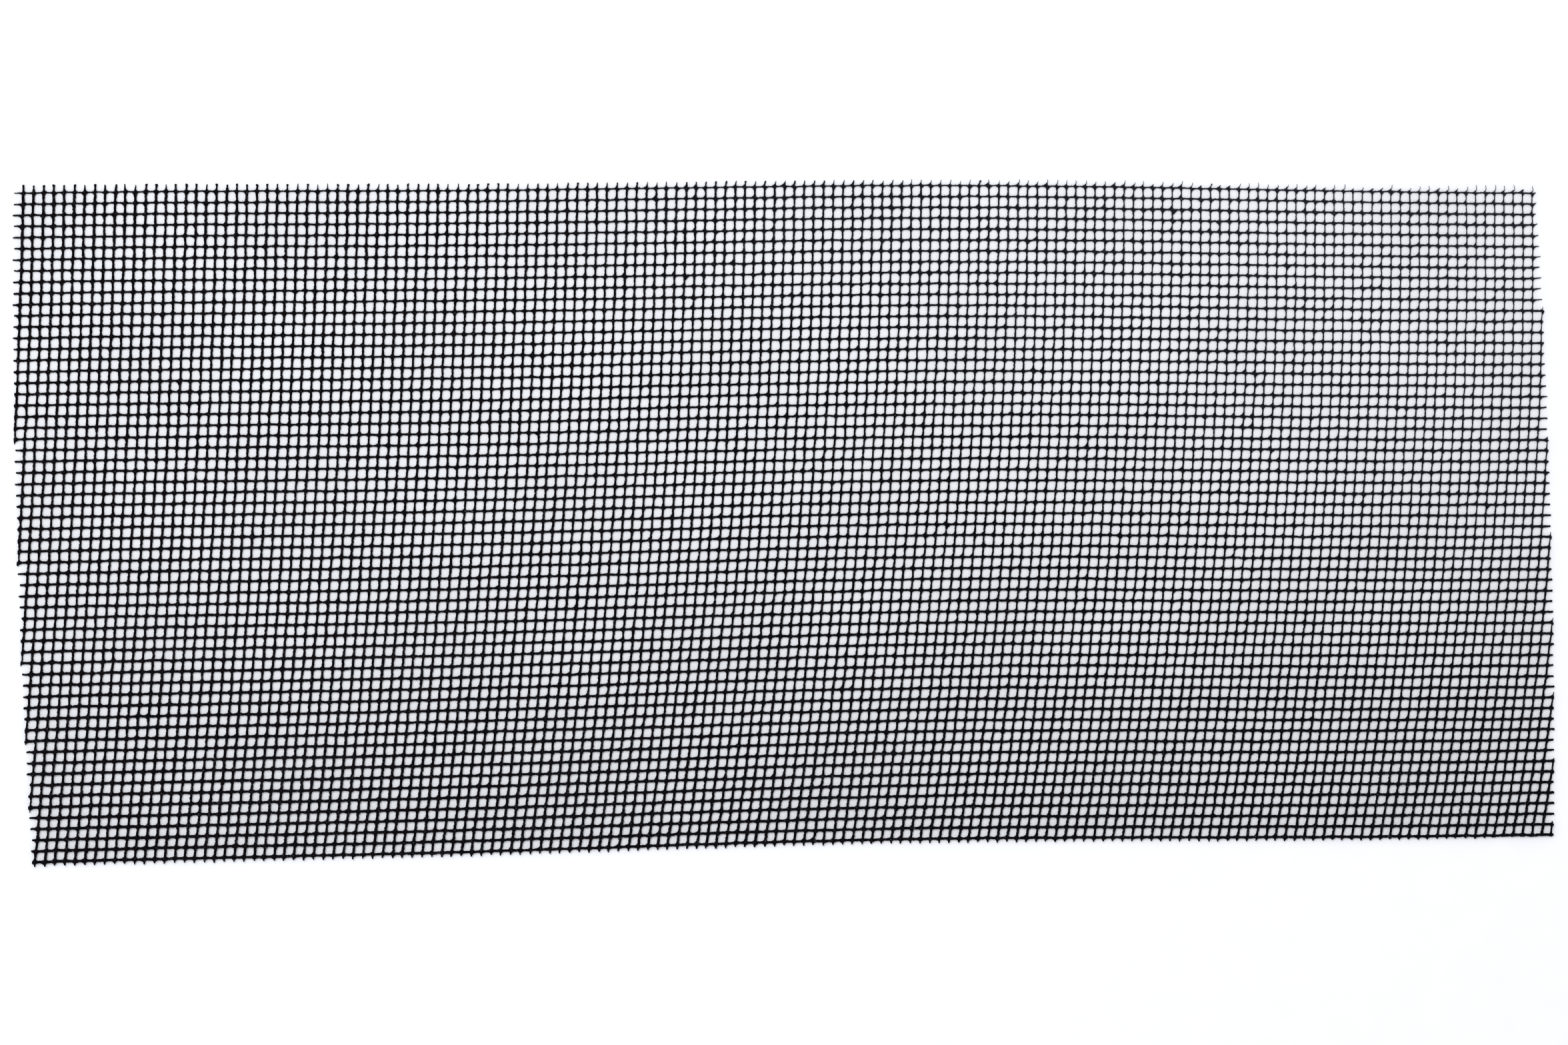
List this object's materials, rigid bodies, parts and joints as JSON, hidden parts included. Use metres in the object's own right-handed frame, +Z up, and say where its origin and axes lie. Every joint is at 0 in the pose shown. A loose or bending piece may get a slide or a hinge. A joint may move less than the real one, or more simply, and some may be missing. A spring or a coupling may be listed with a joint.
{
  "type": "queen excluder",
  "caption": "Flat cut piece of black coated open-weave netting whose cells let worker bees through and hold back the queen.",
  "frame": {"origin": "under the middle of the laid piece, on the surface that it lies on", "axes": "+X along the wefts, +Y along the warps towards their long free ends, +Z up out of the cloth"},
  "size_m": [0.823, 0.3664, 0.0017],
  "materials": {
    "warp_coating": "satin",
    "weft_coating": "satin"
  },
  "bodies": {
    "root": {"warp_strands_01": "warp_coating", "warp_strands_02": "warp_coating", "warp_strands_03": "warp_coating", "warp_strands_04": "warp_coating", "warp_strands_05": "warp_coating", "warp_strands_06": "warp_coating", "warp_strands_07": "warp_coating", "warp_strands_08": "warp_coating", "warp_strands_09": "warp_coating", "warp_strands_10": "warp_coating", "warp_strands_11": "warp_coating", "warp_strands_12": "warp_coating", "warp_strands_13": "warp_coating", "warp_strands_14": "warp_coating", "warp_strands_15": "warp_coating", "warp_strands_16": "warp_coating", "warp_strands_17": "warp_coating", "warp_strands_18": "warp_coating", "warp_strands_19": "warp_coating", "warp_strands_20": "warp_coating", "warp_strands_21": "warp_coating", "warp_strands_22": "warp_coating", "warp_strands_23": "warp_coating", "warp_strands_24": "warp_coating", "warp_strands_25": "warp_coating", "warp_strands_26": "warp_coating", "warp_strands_27": "warp_coating", "warp_strands_28": "warp_coating", "warp_strands_29": "warp_coating", "warp_strands_30": "warp_coating", "warp_strands_31": "warp_coating", "warp_strands_32": "warp_coating", "warp_strands_33": "warp_coating", "warp_strands_34": "warp_coating", "warp_strands_35": "warp_coating", "warp_strands_36": "warp_coating", "warp_strands_37": "warp_coating", "warp_strands_38": "warp_coating", "warp_strands_39": "warp_coating", "warp_strands_40": "warp_coating", "warp_strands_41": "warp_coating", "weft_strands_01": "weft_coating", "weft_strands_02": "weft_coating", "weft_strands_03": "weft_coating", "weft_strands_04": "weft_coating", "weft_strands_05": "weft_coating", "weft_strands_06": "weft_coating", "weft_strands_07": "weft_coating", "weft_strands_08": "weft_coating", "weft_strands_09": "weft_coating", "weft_strands_10": "weft_coating", "weft_strands_11": "weft_coating", "weft_strands_12": "weft_coating", "weft_strands_13": "weft_coating", "weft_strands_14": "weft_coating", "weft_strands_15": "weft_coating", "weft_strands_16": "weft_coating"}
  },
  "joints": []
}
